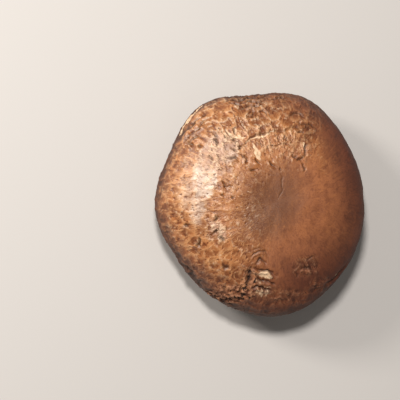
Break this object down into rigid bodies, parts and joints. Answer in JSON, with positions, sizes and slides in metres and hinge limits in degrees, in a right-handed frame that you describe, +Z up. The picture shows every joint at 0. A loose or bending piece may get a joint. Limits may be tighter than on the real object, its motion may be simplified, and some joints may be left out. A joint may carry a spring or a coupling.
{
  "type": "portobello mushroom",
  "caption": "Broad low-domed brown mushroom cap with cracked, scaly skin and a rolled-in edge, dark gills under it and a short pale trimmed stem that it stands on.",
  "frame": {"origin": "middle of the stem's cut face, on the surface that the mushroom stands on", "axes": "+Z up through the crown of the cap, +Y along the cap's longest width, towards the top of the picture, +X towards the picture's right"},
  "size_m": [0.1071, 0.1107, 0.0443],
  "materials": {
    "cap_skin": "dry scaly brown skin, pale in its cracks, with a soft satin sheen",
    "gill_flesh": "matt chocolate brown",
    "stem_flesh": "matt fibrous cream, browner where bruised"
  },
  "bodies": {
    "root": {"cap": "cap_skin", "gills": "gill_flesh", "stem": "stem_flesh"}
  },
  "joints": []
}
